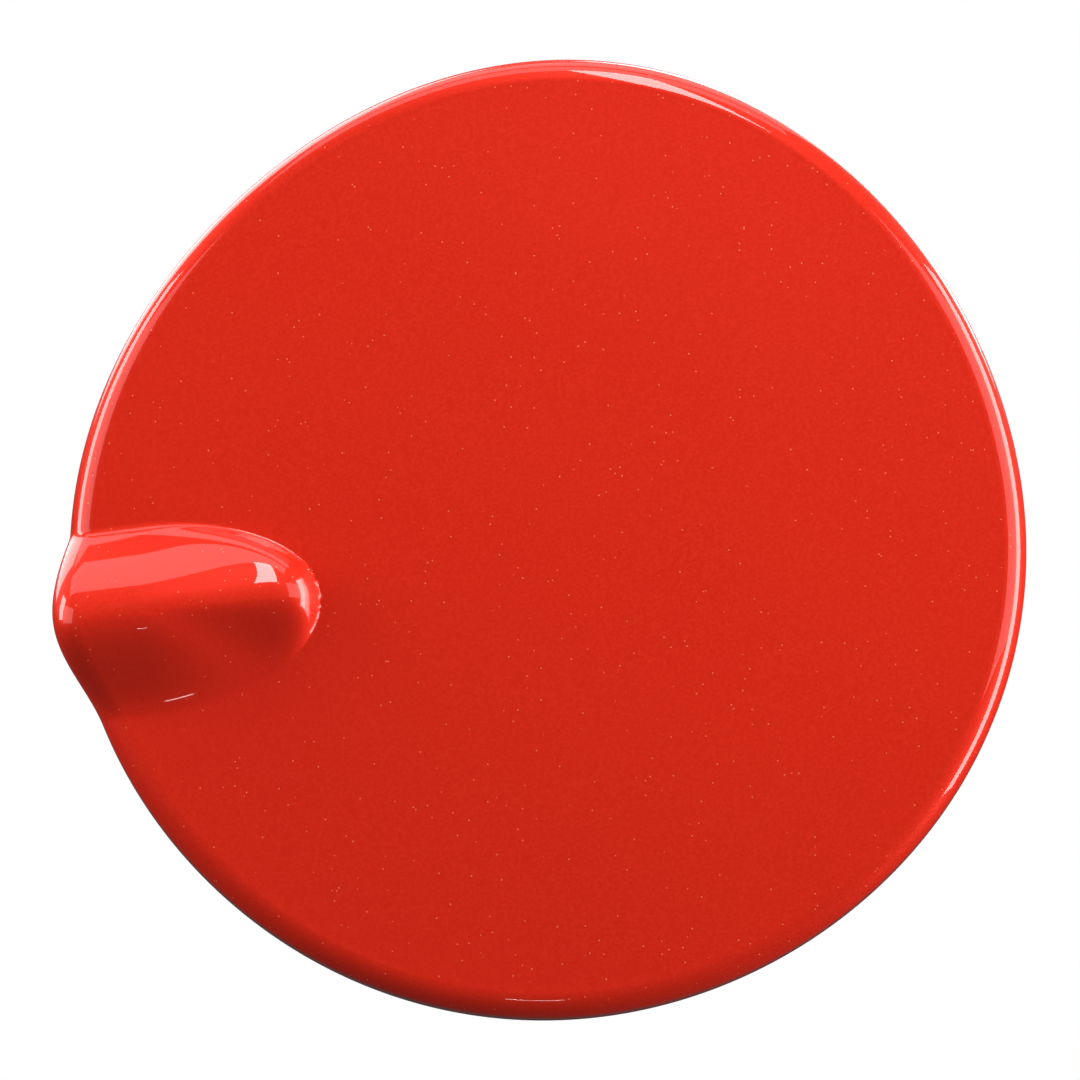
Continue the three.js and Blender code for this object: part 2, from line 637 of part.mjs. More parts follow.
// The coil runs up from the leg that pushes on the bracket to the leg that pushes on the arm.
function torsionSpring() {
  const start = Math.PI;
  const end = MOVING_LEG_AT + COIL_WHOLE_TURNS * Math.PI * 2;
  const height = COIL_PITCH * (end - start) / (Math.PI * 2);
  const steps = Math.round((end - start) / rad(30));
  const points = [];
  const fixedLeg = BASE_BEHIND_PIN - WIRE_R / 2;
  for (const reach of [fixedLeg, fixedLeg / 2, 3]) {
    points.push(new THREE.Vector3(PIN_X - COIL_R, PIN_Y + reach, -height / 2));
  }
  for (let i = 0; i <= steps; i += 1) {
    const angle = THREE.MathUtils.lerp(start, end, i / steps);
    const [x, y] = aboutPin(COIL_R, angle);
    points.push(new THREE.Vector3(x, y, height * (i / steps - 0.5)));
  }
  const [x, y] = aboutPin(COIL_R, MOVING_LEG_AT);
  const movingLeg = (y - PAD_BACK - WIRE_R - GAP) / -Math.cos(MOVING_LEG_AT);
  for (const reach of [3, movingLeg / 2, movingLeg]) {
    const dx = -Math.sin(MOVING_LEG_AT) * reach;
    const dy = Math.cos(MOVING_LEG_AT) * reach;
    points.push(new THREE.Vector3(x + dx, y + dy, height / 2));
  }
  const wire = new THREE.Shape();
  wire.absarc(0, 0, WIRE_R, 0, Math.PI * 2);
  const path = new THREE.CatmullRomCurve3(points, false, 'chordal');
  const options = { steps: 92, bevelEnabled: false, curveSegments: 3, extrudePath: path };
  return new THREE.ExtrudeGeometry(wire, options);
}

function openStop() {
  const near = PIN_Y + STOP_FRONT;
  const far = BASE_FRONT - GAP;
  const block = new THREE.BoxGeometry(STOP_HALF_T * 2, far - near, STOP_HALF_L * 2);
  return block.translate(PIN_X, (near + far) / 2, 0);
}

// ---- the assembly --------------------------------------------------------------------------------

add('outer_skin', outerSkin(), paint);
add('inner_panel', innerPanel(), primer);
add('damping_ring', dampingRing(), foam);

add('hinge_arm', hingeArm(), blackSteel);
ARM_RIVETS.forEach(([x, z], i) => {
  add(`arm_rivet_${i + 1}`, rivet(PAD_BACK), steel).position.set(x, 0, z);
});
add('pivot_bush_upper', pivotBush(), nylon).position.set(PIN_X, PIN_Y, 0);
const lowerBush = add('pivot_bush_lower', pivotBush(), nylon);
lowerBush.position.set(PIN_X, PIN_Y, 0);
lowerBush.rotation.x = Math.PI;

add('lock_striker', lockStriker(), steel).rotation.y = -GRIP_ANGLE;
['lower', 'upper'].forEach((place, i) => {
  const [x, z] = STRIKER_RIVETS[1 - i];
  add(`striker_rivet_${place}`, rivet(PAD_FRONT + STRIKER_T), steel).position.set(x, 0, z);
});
BUFFER_SPREAD.forEach((spread, i) => {
  const angle = GRIP_ANGLE + spread;
  const stop = add(`bump_stop_${i + 1}`, buffer(), rubber);
  stop.position.set(BUFFER_AT_R * Math.cos(angle), 0, BUFFER_AT_R * Math.sin(angle));
});
add('cap_holder', capHolder(), plastic);
HOLDER_RIVETS.forEach(([x, z], i) => {
  add(`holder_rivet_${i + 1}`, rivet(PAD_FRONT + HOLDER_T), steel).position.set(x, 0, z);
});

add('hinge_bracket', hingeBracket(), blackSteel);
for (const [place, z] of [['upper', MOUNT_SCREW_Z], ['lower', -MOUNT_SCREW_Z]]) {
  add(`bracket_screw_${place}`, mountScrew(), steel).position.set(MOUNT_SCREW_X, 0, z);
  add(`screw_washer_${place}`, screwWasher(), steel).position.set(MOUNT_SCREW_X, 0, z);
}
add('hinge_pin', hingePin(), steel).position.set(PIN_X, PIN_Y, 0);
add('pin_clip', pinClip(), springSteel);
add('torsion_spring', torsionSpring(), springSteel);
add('open_stop', openStop(), rubber);

export default assembly;
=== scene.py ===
"""A round fuel filler flap of a car: a gloss red skin with a finger grip, on a spring-closed hinge."""
import json
import math

import bpy
import numpy as np
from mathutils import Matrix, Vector


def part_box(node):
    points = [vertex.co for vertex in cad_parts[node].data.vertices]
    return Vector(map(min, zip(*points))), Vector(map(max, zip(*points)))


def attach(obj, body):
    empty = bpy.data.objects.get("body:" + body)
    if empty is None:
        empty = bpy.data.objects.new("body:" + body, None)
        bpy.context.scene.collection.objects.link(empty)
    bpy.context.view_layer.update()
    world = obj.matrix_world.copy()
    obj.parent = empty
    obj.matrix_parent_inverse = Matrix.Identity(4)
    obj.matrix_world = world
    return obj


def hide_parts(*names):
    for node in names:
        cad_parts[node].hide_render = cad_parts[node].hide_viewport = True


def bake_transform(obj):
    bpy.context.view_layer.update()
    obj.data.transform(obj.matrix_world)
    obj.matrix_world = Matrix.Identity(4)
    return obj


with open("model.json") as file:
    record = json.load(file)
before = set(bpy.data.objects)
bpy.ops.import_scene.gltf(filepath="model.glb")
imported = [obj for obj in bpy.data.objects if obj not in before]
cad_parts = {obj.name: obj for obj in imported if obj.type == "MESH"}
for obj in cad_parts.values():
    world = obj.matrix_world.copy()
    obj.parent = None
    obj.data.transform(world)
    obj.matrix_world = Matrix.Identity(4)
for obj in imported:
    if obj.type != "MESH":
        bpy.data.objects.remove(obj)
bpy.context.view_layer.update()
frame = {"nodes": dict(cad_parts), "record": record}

MM = 0.001

# ---- sizes of the pressed skin, in millimetres -----------------------------------------------------

FLAP_R = 82.9
OVAL, OVAL_AT = 0.9, math.radians(58)          # three low waves of the outline, each with its height
EGG, EGG_AT = 0.85, math.radians(-39)          # and the angle of one of its crests
SQUARE, SQUARE_AT = 0.45, math.radians(-7)
SKIN_T = 1.0
CROWN = 2.5                                    # how far the middle of the face stands before its edge
ROLL_W, ROLL_D = 4.4, 4.0                      # rounded rim, across and in depth
SKIRT_Y = 12.0                                 # depth of the side wall's back edge behind the face
HEM_R, HEM_W = 0.8, 5.0                        # sheet folded in round the back edge

GRIP_ANGLE = math.radians(191)                 # direction of the grip from the middle of the flap
GRIP_TURN = math.radians(-4)                   # how far the grip is turned away from that direction
GRIP_H = 9.5
GRIP_TIP_R = 41.0                              # distance of the grip's nose from the middle
GRIP_NOSE = 30.0                               # length over which the nose rises
GRIP_CREST = -2.3                              # the crest's offset from the grip's middle line
GRIP_UPPER, GRIP_LOWER = 15.7, 17.5            # widths of the flank above the crest and the scoop below it
CREST_ROUND = 0.4                              # rounding of the crest, as a share of a flank
NOSE_FALL, NOSE_BLUNT = 0.4, 16                # share of the height lost along the nose, and its bluntness
GRIP_OVERHANG = 3.4                            # how far the lip stands out over the side wall
GRIP_LEAN_R = 60.0                             # radius from which the grip leans outwards
LIP_DEPTH = 0.42                               # share of the side wall that the lip takes up
CREASE_FILLET = 0.06                           # share of the grip's height over which the crease is rounded

# ---- sizes of the hidden pieces, in millimetres ----------------------------------------------------

GAP = 0.3                                      # between pieces that rest on each other
PANEL_T, PANEL_SIDE_GAP = 1.0, 0.8
PLATEAU_STEP = 0.6                             # the panel's middle lies this much before its rim
BEAD_R, BEAD_DEPTH = 56, 2
DRAIN_R = 2.5
DRAIN_AT = [math.radians(degrees) for degrees in (30, 150, 270)]
RING_IN, RING_OUT, RING_BEVEL = 28.5, 34.5, 0.3
RIVET_R, RIVET_TAIL_R, RIVET_TAIL_H = 1.9, 2.8, 1.0
RIVET_HEAD_R, RIVET_HEAD_H = 3.0, 1.5
BUFFER_NECK_R, BUFFER_BARB_R, BUFFER_HEAD_R, BUFFER_HEAD_H = 2.7, 3.9, 6.0, 5
SCREW_R, SCREW_CORE_R, SCREW_PITCH = 2.5, 2.06, 0.8
SCREW_HEAD_R, SCREW_HEAD_H, SCREW_NECK = 4.6, 3.2, 6.4
SOCKET_R, SOCKET_DEPTH = 2.3, 2.0
WASHER_IN, WASHER_OUT = 2.8, 5.8
PIN_R, PIN_BEVEL, PIN_HEAD_R, PIN_HEAD_T = 3.0, 0.6, 5.0, 2
CLIP_GROOVE_R, CLIP_GROOVE = 2.3, (1.6, 3.0)   # radius of the groove, and its ends along the pin
BUSH_WALL, BUSH_FLANGE_R, BUSH_FLANGE_T = 1.4, 7.5, 1.2
WIRE_R, COIL_R, COIL_PITCH, COIL_TURNS, COIL_STEPS = 0.8, 5.2, 2.3, 5, 190
FIXED_LEG, FIXED_LEG_AT = 23.6, math.pi        # the spring's fixed leg: length, and its angle on the coil
MOVING_LEG_AT = math.radians(121.8)
LEG_STEPS = (1.2, 3, 6)                        # places along each leg where it leaves the coil

# ---- places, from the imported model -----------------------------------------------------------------

ring_low, ring_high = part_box("damping_ring")
skin_low, skin_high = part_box("outer_skin")
pin_low, pin_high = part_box("hinge_pin")
FLAP_X = (ring_low.x + ring_high.x) / 2
FLAP_Z = (ring_low.z + ring_high.z) / 2
FACE_Y = skin_high.y - SKIRT_Y * MM
PIN_X = (pin_low.x + pin_high.x) / 2
PIN_Y = (pin_low.y + pin_high.y) / 2


# ---- shader expressions ----------------------------------------------------------------------------


class Value:
    """A socket of a finish. Arithmetic on it adds Math nodes."""

    def __init__(self, finish, socket):
        self.finish = finish
        self.socket = socket

    def _math(self, operation, other):
        return self.finish.node("Math", {"operation": operation}, {0: self, 1: other})

    def __add__(self, other):
        return self._math("ADD", other)

    def __mul__(self, other):
        return self._math("MULTIPLY", other)

    def __sub__(self, other):
        return self._math("SUBTRACT", other)

    def __rsub__(self, other):
        return self * -1 + other

    def __gt__(self, other):
        return self._math("GREATER_THAN", other)

    def __lt__(self, other):
        return self._math("LESS_THAN", other)

    __radd__ = __add__
    __rmul__ = __mul__


class Finish:
    """A material with one Principled shader."""

    def __init__(self, name, colour, **constants):
        self.material = bpy.data.materials.new(name)
        self.material.use_nodes = True
        self.tree = self.material.node_tree
        self.shader = self.tree.nodes["Principled BSDF"]
        self.shader.inputs["Base Color"].default_value = (*colour, 1)
        for key, number in constants.items():
            socket = key.replace("_", " ").title().replace("Ior", "IOR")
            self.shader.inputs[socket].default_value = number
        self.place = self.node("TexCoord", {}, {}, "Object")

    def node(self, kind, settings, inputs, output=0):
        """Adds a node, sets it and joins its sockets. Gives back one of its outputs."""
        made = self.tree.nodes.new("ShaderNode" + kind)
        for key, setting in settings.items():
            setattr(made, key, setting)
        for key, given in inputs.items():
            self._join(given, made.inputs[key])
        return Value(self, made.outputs[output])

    def _join(self, given, socket):
        if isinstance(given, Value):
            self.tree.links.new(given.socket, socket)
        elif socket.type == "RGBA":
            socket.default_value = (*given, 1)
        else:
            socket.default_value = given

    def feed(self, **links):
        for key, given in links.items():
            self._join(given, self.shader.inputs[key.replace("_", " ").title()])
        return self

    def noise(self, size_mm, detail=2.0, roughness=0.5):
        scale = 1 / (size_mm * MM)
        inputs = {"Vector": self.place, "Scale": scale, "Detail": detail, "Roughness": roughness}
        return self.node("TexNoise", {}, inputs, "Fac")

    def mix(self, share, one, other):
        """Colour one where share is 0, and other where it is 1."""
        return self.node("Mix", {"data_type": "RGBA"}, {0: share, 6: one, 7: other}, 2)

    def between(self, value, low, high, to_low=0.0, to_high=1.0):
        """Goes smoothly from to_low to to_high while the value goes from low to high."""
        inputs = {0: value, 1: low, 2: high, 3: to_low, 4: to_high}
        return self.node("MapRange", {"interpolation_type": "SMOOTHSTEP"}, inputs)

    def bump(self, height, depth_mm, under=None):
        """A relief of this depth, on top of the relief under it."""
        inputs = {"Height": height, "Distance": depth_mm * MM}
        if under is not None:
            inputs["Normal"] = under
        return self.node("Bump", {}, inputs, "Normal")


def red_paint():
    """Base coat with sparse flakes under a clear coat."""
    paint = Finish("red_flake_paint", (0.62, 0.02, 0.009), metallic=0.2, specular_ior_level=0.12,
                   coat_weight=1.0, coat_roughness=0.02)
    cells = {"Vector": paint.place, "Scale": 1 / (0.4 * MM)}
    lot = paint.node("SeparateColor", {}, {0: paint.node("TexVoronoi", {}, cells, "Color")}, 0)
    near = paint.node("TexVoronoi", {}, cells, "Distance")
    flake = (lot > 0.99) * (near < 0.34)
    cloud = paint.noise(45, 2)
    grain = paint.noise(0.5, 1)
    depth = paint.mix(cloud, (0.82, 0.0225, 0.0062), (0.76, 0.0195, 0.0056))
    grained = paint.mix(paint.between(grain, 0.35, 0.75, 0.0, 0.35), depth, (0.88, 0.035, 0.011))
    colour = paint.mix(flake, grained, (1.0, 0.20, 0.09))
    peel = paint.bump(paint.noise(3.2, 1), 0.003)
    rough = paint.between(grain, 0.2, 0.8, 0.36, 0.46)
    return paint.feed(base_color=colour, roughness=rough, normal=peel)


def thin_red_coat():
    """The same red sprayed thinner, with hardly any clear coat and with patches of dry overspray."""
    coat = Finish("thin_red_coat", (0.42, 0.018, 0.009), metallic=0.1,
                  coat_weight=0.15, coat_roughness=0.35)
    cloud = coat.noise(26, 3)
    spray = coat.noise(0.7, 2, 0.7)
    shade = coat.mix(coat.between(cloud, 0.3, 0.7), (0.46, 0.02, 0.01), (0.34, 0.014, 0.008))
    dry = coat.between(spray * cloud, 0.24, 0.42, 0.0, 0.5)
    colour = coat.mix(dry, shade, (0.52, 0.07, 0.045))
    peel = coat.bump(coat.noise(2.2, 2), 0.012)
    grit = coat.bump(spray, 0.006, under=peel)
    rough = dry * 0.4 + coat.between(cloud, 0.2, 0.8, 0.32, 0.5)
    return coat.feed(base_color=colour, roughness=rough, normal=grit)


def cell_foam():
    """Closed-cell foam: a matt surface with rougher pits, and painted shade that colours the pits darker.
    """
    foam = Finish("cell_foam", (0.05, 0.05, 0.055), specular_ior_level=0.2)
    cells = foam.node("TexVoronoi", {}, {"Vector": foam.place, "Scale": 1 / (0.9 * MM)}, "Distance")
    # painted shade: the pits, where the bump is lowest, are coloured darker than the cell walls
    shade = foam.mix(foam.between(cells, 0.1, 0.6), (0.02, 0.02, 0.022), (0.075, 0.076, 0.08))
    rough = foam.between(cells, 0, 0.7, 0.98, 0.8)
    return foam.feed(base_color=shade, roughness=rough, normal=foam.bump(cells, 0.35))


def black_coat():
    """Satin black coating with a fine orange peel, faint dust and a few bright rubs."""
    coat = Finish("black_coat", (0.02, 0.021, 0.023), specular_ior_level=0.45)
    dust = coat.between(coat.noise(18, 4, 0.6), 0.45, 0.75)
    rub = coat.between(coat.noise(5, 5, 0.7), 0.70, 0.74)
    grain = coat.noise(0.35, 2)
    shade = coat.mix(dust, (0.016, 0.017, 0.019), (0.034, 0.034, 0.035))
    colour = coat.mix(rub, shade, (0.28, 0.28, 0.29))
    peel = coat.bump(coat.noise(1.1, 2), 0.02)
    rough = coat.between(grain, 0.2, 0.8, 0.36, 0.5) + dust * 0.12
    relief = coat.bump(grain, 0.006, under=peel)
    return coat.feed(base_color=colour, metallic=rub, roughness=rough, normal=relief)


def zinc_plate():
    """Passivated zinc: cloudy, faintly yellow and blue, with dull specks and fine rolling marks."""
    zinc = Finish("zinc_plate", (0.58, 0.59, 0.6), metallic=1.0)
    cloud = zinc.noise(3.5, 3)
    tint = zinc.mix(zinc.between(cloud, 0.35, 0.65), (0.50, 0.53, 0.57), (0.63, 0.61, 0.55))
    speck = zinc.between(zinc.noise(0.5, 3, 0.7), 0.62, 0.72)
    colour = zinc.mix(speck, tint, (0.36, 0.36, 0.35))
    place = zinc.node("Mapping", {}, {"Vector": zinc.place, "Scale": (1, 1, 14)})
    marks = zinc.node("TexNoise", {}, {"Vector": place, "Scale": 1 / (2.5 * MM), "Detail": 3})
    rough = zinc.between(marks, 0.3, 0.7, 0.24, 0.4) + speck * 0.2
    return zinc.feed(base_color=colour, roughness=rough, normal=zinc.bump(marks, 0.006))


def drawn_wire():
    """Oiled spring steel, darker where the oil has gathered."""
    wire = Finish("drawn_wire", (0.33, 0.34, 0.36), metallic=1.0)
    oil = wire.between(wire.noise(4, 3), 0.4, 0.65)
    scratch = wire.noise(0.25, 3, 0.7)
    colour = wire.mix(oil, (0.40, 0.41, 0.43), (0.2, 0.19, 0.175))
    rough = wire.between(scratch, 0.3, 0.7, 0.26, 0.42) - oil * 0.08
    return wire.feed(base_color=colour, roughness=rough, normal=wire.bump(scratch, 0.004))


def natural_nylon():
    """Cream nylon, cloudy, with darker grime in patches."""
    nylon = Finish("natural_nylon", (0.78, 0.75, 0.66), subsurface_weight=0.15, subsurface_scale=0.002)
    cloud = nylon.noise(4, 3)
    grime = nylon.between(nylon.noise(1.2, 4, 0.65), 0.58, 0.75, 0.0, 0.6)
    cream = nylon.mix(cloud, (0.80, 0.77, 0.69), (0.73, 0.69, 0.59))
    colour = nylon.mix(grime, cream, (0.42, 0.38, 0.30))
    rough = grime * 0.15 + 0.42
    return nylon.feed(base_color=colour, roughness=rough, normal=nylon.bump(nylon.noise(0.4, 2), 0.01))


def moulded_rubber():
    """Matt rubber with a grey bloom and a fine spark-eroded grain."""
    rubber = Finish("moulded_rubber", (0.018, 0.018, 0.018), specular_ior_level=0.3)
    bloom = rubber.between(rubber.noise(5, 4, 0.6), 0.42, 0.72)
    grain = rubber.noise(0.22, 2)
    colour = rubber.mix(bloom, (0.014, 0.014, 0.015), (0.045, 0.044, 0.042))
    rough = rubber.between(grain, 0.3, 0.7, 0.66, 0.86) + bloom * 0.1
    return rubber.feed(base_color=colour, roughness=rough, normal=rubber.bump(grain, 0.02))


def grained_plastic():
    """Dark moulded plastic with a leather-fine grain and faint flow lines."""
    plastic = Finish("grained_plastic", (0.025, 0.026, 0.028), specular_ior_level=0.4)
    grain = {"Vector": plastic.place, "Scale": 1 / (0.45 * MM)}
    cells = plastic.node("TexVoronoi", {}, grain, "Distance")
    flow = plastic.noise(9, 4, 0.6)
    colour = plastic.mix(plastic.between(flow, 0.35, 0.7), (0.02, 0.021, 0.023), (0.036, 0.037, 0.039))
    rough = plastic.between(cells, 0.05, 0.6, 0.62, 0.44)
    return plastic.feed(base_color=colour, roughness=rough, normal=plastic.bump(cells, 0.03))


FINISHES = {
    "skin_paint": red_paint(),
    "panel_primer": thin_red_coat(),
    "foam": cell_foam(),
    "black_steel": black_coat(),
    "zinc_steel": zinc_plate(),
    "spring_steel": drawn_wire(),
    "bush_nylon": natural_nylon(),
    "rubber": moulded_rubber(),
    "holder_plastic": grained_plastic(),
}

# ---- the skin --------------------------------------------------------------------------------------


def smooth(value, start, end):
    t = np.clip((value - start) / (end - start), 0, 1)
    return t * t * (3 - 2 * t)


def crown(radius):
    return CROWN * (radius / FLAP_R) ** 2


def waved(radius, angle):
    """A round radius with the outline's three waves, which fade towards the middle."""
    oval = OVAL * np.cos(2 * (angle - OVAL_AT))
    egg = EGG * np.cos(3 * (angle - EGG_AT))
    wave = oval + egg + SQUARE * np.cos(4 * (angle - SQUARE_AT))
    return radius + wave * (radius / FLAP_R) ** 3


def filleted(height):
    """Follows height where it is positive and 0 where it is negative, with a rounded corner between."""
    rounded = (height + CREASE_FILLET) ** 2 / (4 * CREASE_FILLET)
    return np.where(height > CREASE_FILLET, height, np.where(height > -CREASE_FILLET, rounded, 0))


def grip_share(x, z):
    """Height of the grip as a share of its crest: a creased pillow above and a scoop below."""
    x = x - GRIP_TIP_R * math.cos(GRIP_ANGLE)
    z = z - GRIP_TIP_R * math.sin(GRIP_ANGLE)
    way = GRIP_ANGLE + GRIP_TURN
    along = x * math.cos(way) + z * math.sin(way)
    across = x * math.sin(way) - z * math.cos(way) - GRIP_CREST
    nose = np.maximum(0, 1 - along / GRIP_NOSE)
    side = across / np.where(across > 0, GRIP_UPPER, GRIP_LOWER)
    reach = np.clip(np.hypot(nose, side), 1e-6, 1.5)
    fall = np.hypot(reach, CREST_ROUND) - CREST_ROUND
    flank = 1 - fall / (math.hypot(1, CREST_ROUND) - CREST_ROUND)
    tip = 1 - NOSE_FALL * reach ** 1.2 - (1 - NOSE_FALL) * reach ** NOSE_BLUNT
    forward = np.minimum(nose / reach, 1) ** 2
    ridge = filleted(flank * (1 - forward) + tip * forward)
    scoop = (1 + np.cos(math.pi * np.minimum(reach, 1))) / 2
    lower = smooth(-side / reach, 0, 0.8)
    return ridge * (1 - lower) + scoop * lower


def steps(start, end, count):
    """Even steps from start, which is left out, to end."""
    return np.linspace(start, end, count + 1)[1:]


def skin_section():
    """The skin's section as arrays of radius and depth, from the middle of the face to its back."""
    rim_r = FLAP_R - ROLL_W
    roll_end = crown(rim_r) + ROLL_D
    wall_end = SKIRT_Y - SKIN_T
    inner_r = FLAP_R - SKIN_T
    flat = np.linspace(0, GRIP_TIP_R - 4, 10)
    grip = np.linspace(GRIP_TIP_R - 3.5, rim_r, 88)
    face_r = np.concatenate([flat, grip])
    turn = np.radians(steps(0, 90, 26))
    wall_y = roll_end + (SKIRT_Y - HEM_R - roll_end) * steps(0, 1, 14)
    fold = np.radians(steps(0, 90, 5))
    inner_wall = steps(wall_end, roll_end, 7)
    inner_turn = np.radians(steps(90, 0, 6))
    lining_r = steps(rim_r, 0, 23)
    hem_bevel = 0.2
    hem_r = FLAP_R - HEM_W
    sections = [
        (face_r, crown(face_r)),
        (rim_r + ROLL_W * np.sin(turn), roll_end - ROLL_D * np.cos(turn)),
        (np.full_like(wall_y, FLAP_R), wall_y),
        (FLAP_R - HEM_R + HEM_R * np.cos(fold), SKIRT_Y - HEM_R + HEM_R * np.sin(fold)),
        (np.array([hem_r + hem_bevel, hem_r]), np.array([SKIRT_Y, SKIRT_Y - hem_bevel])),
        (np.array([hem_r, inner_r]), np.array([wall_end, wall_end])),
        (np.full_like(inner_wall, inner_r), inner_wall),
        (rim_r + (ROLL_W - SKIN_T) * np.sin(inner_turn), roll_end - (ROLL_D - SKIN_T) * np.cos(inner_turn)),
        (lining_r, crown(lining_r) + SKIN_T),
    ]
    radii, depths = zip(*sections)
    return np.concatenate(radii), np.concatenate(depths), roll_end, wall_end


SKIN_SECTORS = 480
CROWDING = 0.7                                 # draws the grid's columns together towards the grip


def pressed(even, radius, y, roll_end, wall_end):
    """Places of the skin's points: the round section, waved and with the grip raised out of it."""
    angle = even + CROWDING * np.sin(even) + GRIP_ANGLE - math.pi
    outline = waved(radius, angle)
    share = grip_share(outline * np.cos(angle), outline * np.sin(angle))
    depth = np.clip((y - roll_end) / (wall_end - roll_end), 0, 1)
    lean = share * smooth(radius, GRIP_LEAN_R, FLAP_R) * (1 - smooth(depth, 0, LIP_DEPTH))
    pushed = outline + GRIP_OVERHANG * lean
    lifted = y - GRIP_H * share * (1 - smooth(depth, 0, 1))
    return np.stack([
        FLAP_X + pushed * np.cos(angle) * MM,
        FACE_Y + lifted * MM,
        FLAP_Z + pushed * np.sin(angle) * MM,
    ], axis=1)


def points_of(piece):
    flat = np.empty(len(piece.data.vertices) * 3)
    piece.data.vertices.foreach_get("co", flat)
    return flat.reshape(-1, 3)


def outer_skin():
    """A fine grid rolled up round the section, then pressed into the flap's real shape."""
    radii, depths, roll_end, wall_end = skin_section()
    rows = len(radii)
    bpy.ops.object.select_all(action="DESELECT")
    bpy.ops.mesh.primitive_grid_add(x_subdivisions=SKIN_SECTORS, y_subdivisions=rows - 1, size=1)
    skin = bpy.context.object
    skin.name = skin.data.name = "painted_skin"
    grid = points_of(skin)
    even = (grid[:, 0] + 0.5) * 2 * math.pi
    row = np.rint((grid[:, 1] + 0.5) * (rows - 1)).astype(int)
    place = pressed(even, radii[row], depths[row], roll_end, wall_end)
    skin.data.vertices.foreach_set("co", place.ravel())
    bpy.ops.object.mode_set(mode="EDIT")
    bpy.ops.mesh.select_all(action="SELECT")
    bpy.ops.mesh.remove_doubles(threshold=0.002 * MM)
    bpy.ops.mesh.normals_make_consistent(inside=False)
    bpy.ops.object.mode_set(mode="OBJECT")
    bpy.ops.object.shade_smooth_by_angle(angle=math.radians(40))
    return skin


# ---- shaping ---------------------------------------------------------------------------------------

SLOT_OF = {part["node"]: part["material_slot"] for part in frame["record"]["subparts"]}
BODY_OF = {
    node: body
    for body, nodes in frame["record"]["behaviour"]["bodies"].items()
    for node in nodes
}
TURNED = {                                     # how a ring or bar is turned to lie along an axis
    "Y": ((math.pi / 2, 0, 0), Vector((0, 1, 0))),
    "Z": ((0, 0, 0), Vector((0, 0, 1))),
}


def hold(piece):
    """Makes a piece the only selected one."""
    bpy.ops.object.select_all(action="DESELECT")
    piece.select_set(True)
    bpy.context.view_layer.objects.active = piece


def stand_for(piece, node):
    """Gives a piece its finish, hides the CAD node that it stands for, and hangs the piece on that node's
    body, all but the spring.
    """
    piece.data.materials.clear()
    piece.data.materials.append(FINISHES[SLOT_OF[node]].material)
    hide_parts(node)
    if node != "torsion_spring":
        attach(piece, BODY_OF[node])
    return piece


SHARP_EDGE = math.radians(32)
SMOOTH_UNDER = math.radians(35)


def round_edges(piece, width_mm, segments):
    """Rounds every sharp edge, and shades the rest smooth."""
    hold(piece)
    rounding = piece.modifiers.new("rounded_edges", "BEVEL")
    rounding.width = width_mm * MM
    rounding.segments = segments
    rounding.limit_method = "ANGLE"
    rounding.angle_limit = SHARP_EDGE
    rounding.use_clamp_overlap = True
    bpy.ops.object.modifier_apply(modifier=rounding.name)
    bpy.ops.object.shade_smooth_by_angle(angle=SMOOTH_UNDER)
    return piece


def dressed(node, name, width_mm):
    """A copy of a CAD solid with its flat faces joined up and its edges rounded."""
    source = frame["nodes"][node]
    piece = bpy.data.objects.new(name, source.data.copy())
    piece.data.name = name
    bpy.context.scene.collection.objects.link(piece)
    hold(piece)
    bpy.ops.object.mode_set(mode="EDIT")
    bpy.ops.mesh.select_all(action="SELECT")
    bpy.ops.mesh.remove_doubles(threshold=0.005 * MM)
    bpy.ops.mesh.dissolve_limited(angle_limit=math.radians(1))
    bpy.ops.object.mode_set(mode="OBJECT")
    return round_edges(piece, width_mm, 3)


def turned(name, profile, foot, width_mm, axis="Y", segments=48):
    """A turned piece: a ring drawn along its axis and widened or narrowed. The profile is in mm."""
    turn, along = TURNED[axis]
    start_r, start = profile[0]
    place = foot + along * start * MM
    bpy.ops.object.select_all(action="DESELECT")
    bpy.ops.mesh.primitive_circle_add(
        vertices=segments, radius=start_r * MM, location=place, rotation=turn
    )
    piece = bpy.context.object
    piece.name = piece.data.name = name
    bpy.ops.object.transform_apply(location=True, rotation=True, scale=True)
    bpy.ops.object.mode_set(mode="EDIT")
    bpy.ops.mesh.select_all(action="SELECT")
    for (before_r, before), (radius, distance) in zip(profile, profile[1:]):
        step = along * (distance - before) * MM
        bpy.ops.mesh.extrude_region_move(TRANSFORM_OT_translate={"value": step})
        if radius != before_r:
            grown = tuple(1 if part else radius / before_r for part in along)
            bpy.ops.transform.resize(value=grown, center_override=foot + along * distance * MM)
    bpy.ops.mesh.select_all(action="SELECT")
    bpy.ops.mesh.remove_doubles(threshold=0.002 * MM)
    bpy.ops.mesh.fill_holes(sides=0)
    bpy.ops.mesh.normals_make_consistent(inside=False)
    bpy.ops.object.mode_set(mode="OBJECT")
    return round_edges(piece, width_mm, 2)


def middle(node):
    """The middle of a CAD node's box."""
    low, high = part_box(node)
    return (low + high) / 2


def repeated(piece, name, node, other):
    """A copy of a finished piece, moved from one CAD node's place to another's."""
    copy = bpy.data.objects.new(name, piece.data.copy())
    copy.data.name = name
    bpy.context.scene.collection.objects.link(copy)
    hold(copy)
    copy.location = middle(other) - middle(node)
    bpy.ops.object.transform_apply(location=True, rotation=False, scale=False)
    return stand_for(copy, other)


def cut(piece, cutter):
    """Takes one piece's shape out of another."""
    hold(piece)
    taken = piece.modifiers.new("cut_out", "BOOLEAN")
    taken.operation = "DIFFERENCE"
    taken.solver = "EXACT"
    taken.object = cutter
    bpy.ops.object.modifier_apply(modifier=taken.name)
    bpy.data.objects.remove(cutter)
    bpy.ops.object.shade_smooth_by_angle(angle=SMOOTH_UNDER)


